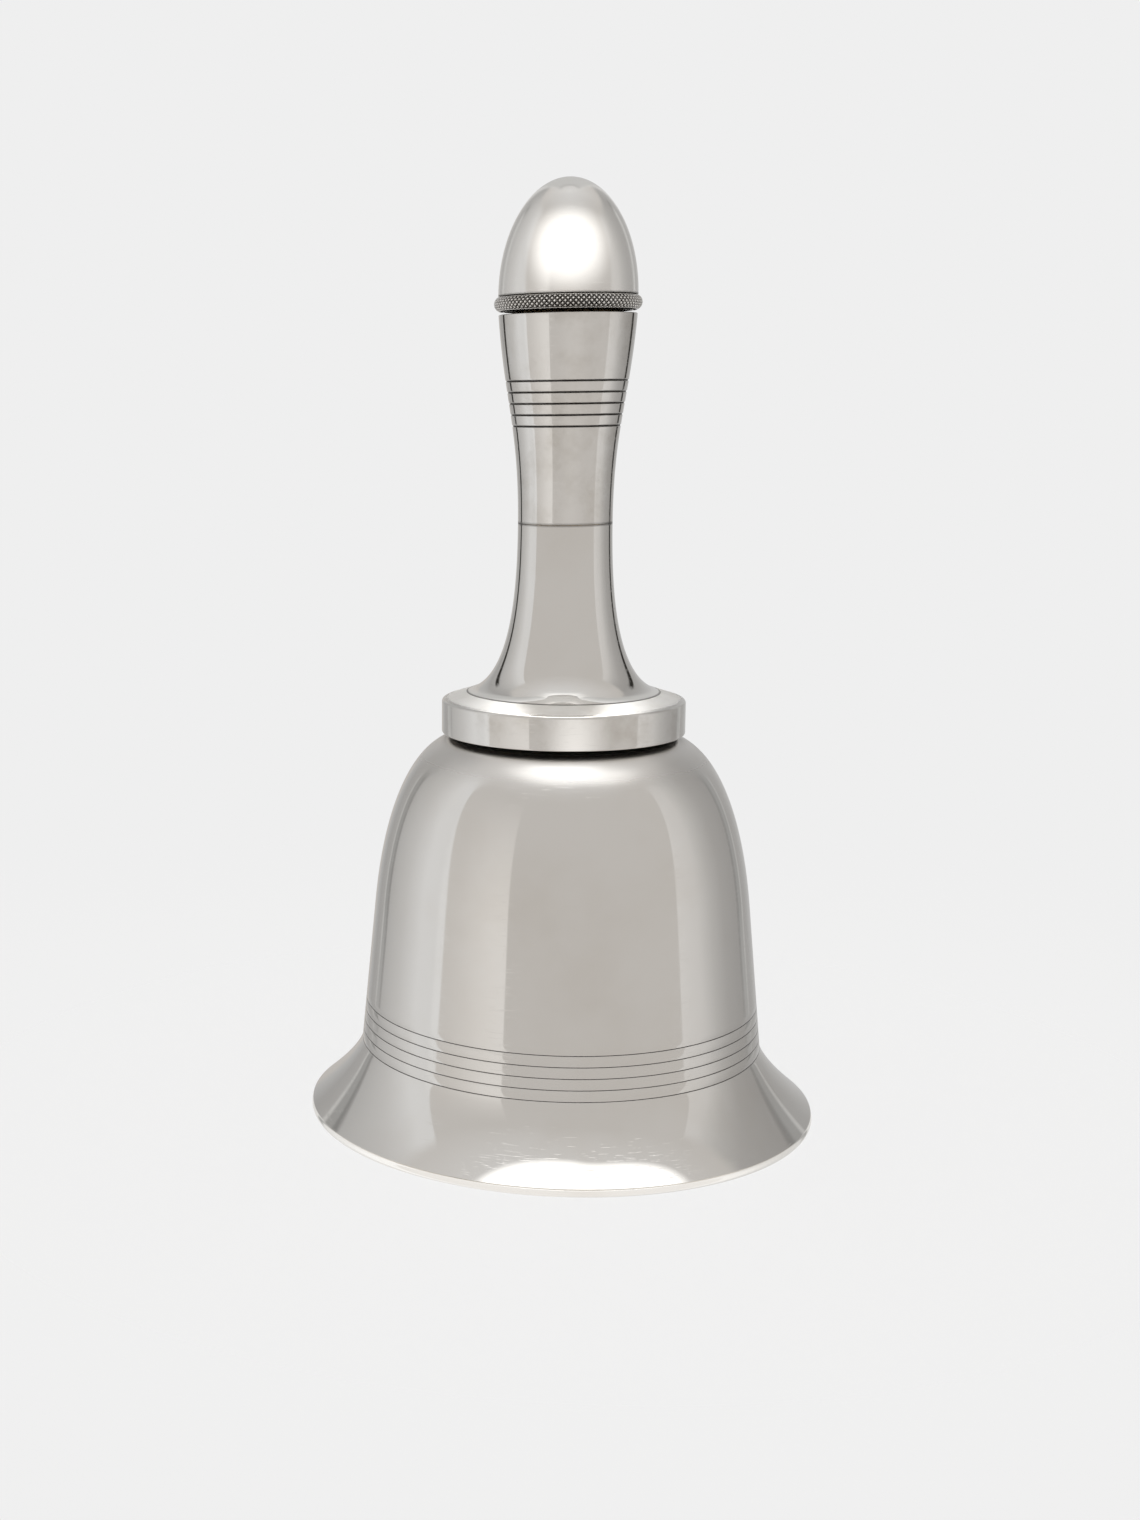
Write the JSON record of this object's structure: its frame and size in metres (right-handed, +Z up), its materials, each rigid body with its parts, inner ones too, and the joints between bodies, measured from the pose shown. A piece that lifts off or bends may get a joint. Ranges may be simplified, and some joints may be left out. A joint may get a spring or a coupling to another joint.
{
  "type": "hand bell cocktail shaker",
  "caption": "Silver-plated cocktail shaker in the form of a hand bell, with a screw-off collar and handle, a strainer, and a knurled screw cap over the spout.",
  "frame": {"origin": "centre of the bell's mouth, in the plane that the rim stands on", "axes": "+Z up along the axis from the mouth to the cap; the shape is round about +Z"},
  "size_m": [0.144, 0.144, 0.2627],
  "materials": {
    "silver_plate": "polished silver plate over brass, fine hairline scratches, darkened in the turned lines and the knurling",
    "gilt_brass": "gilt lining, dulled in the threads",
    "cork": "pressed cork, matt, slightly compressed at the edges"
  },
  "bodies": {
    "vessel": {"bell_shell": "silver_plate", "rim_wire": "silver_plate", "base_plate": "silver_plate", "base_band": "silver_plate", "neck_tube": "gilt_brass", "neck_thread_ring": "gilt_brass"},
    "lid_seal": {"neck_gasket": "cork"},
    "lid": {"lid_collar": "silver_plate", "collar_thread_ring": "gilt_brass", "gasket_cup": "gilt_brass", "strainer_disc": "gilt_brass", "strainer_ring": "gilt_brass", "handle_trumpet": "silver_plate", "handle_joint_sleeve": "gilt_brass", "handle_barrel": "silver_plate", "handle_top_plate": "silver_plate", "pour_spout": "gilt_brass"},
    "cap_seal": {"cap_cork": "cork"},
    "cap": {"cap_dome": "silver_plate", "knurled_ring": "silver_plate", "cap_thread_ring": "gilt_brass", "cork_cup": "gilt_brass"}
  },
  "joints": [
    {"name": "lid_rise", "type": "slide", "parent": "vessel", "child": "lid_seal", "axis": [0, 0, 1], "range_m": [0, 0.00801]},
    {"name": "lid_turn", "type": "hinge", "parent": "lid_seal", "child": "lid", "pos_m": [0, 0, 0.115], "axis": [0, 0, 1], "range_deg": [0, 720]},
    {"name": "cap_rise", "type": "slide", "parent": "lid", "child": "cap_seal", "axis": [0, 0, 1], "range_m": [0, 0.00901]},
    {"name": "cap_turn", "type": "hinge", "parent": "cap_seal", "child": "cap", "pos_m": [0, 0, 0.232], "axis": [0, 0, 1], "range_deg": [0, 1080]}
  ],
  "couplings": [
    {"joint": "lid_rise", "follows": "lid_turn", "m_per_rad": 0.00063662},
    {"joint": "cap_rise", "follows": "cap_turn", "m_per_rad": 0.00047746}
  ]
}
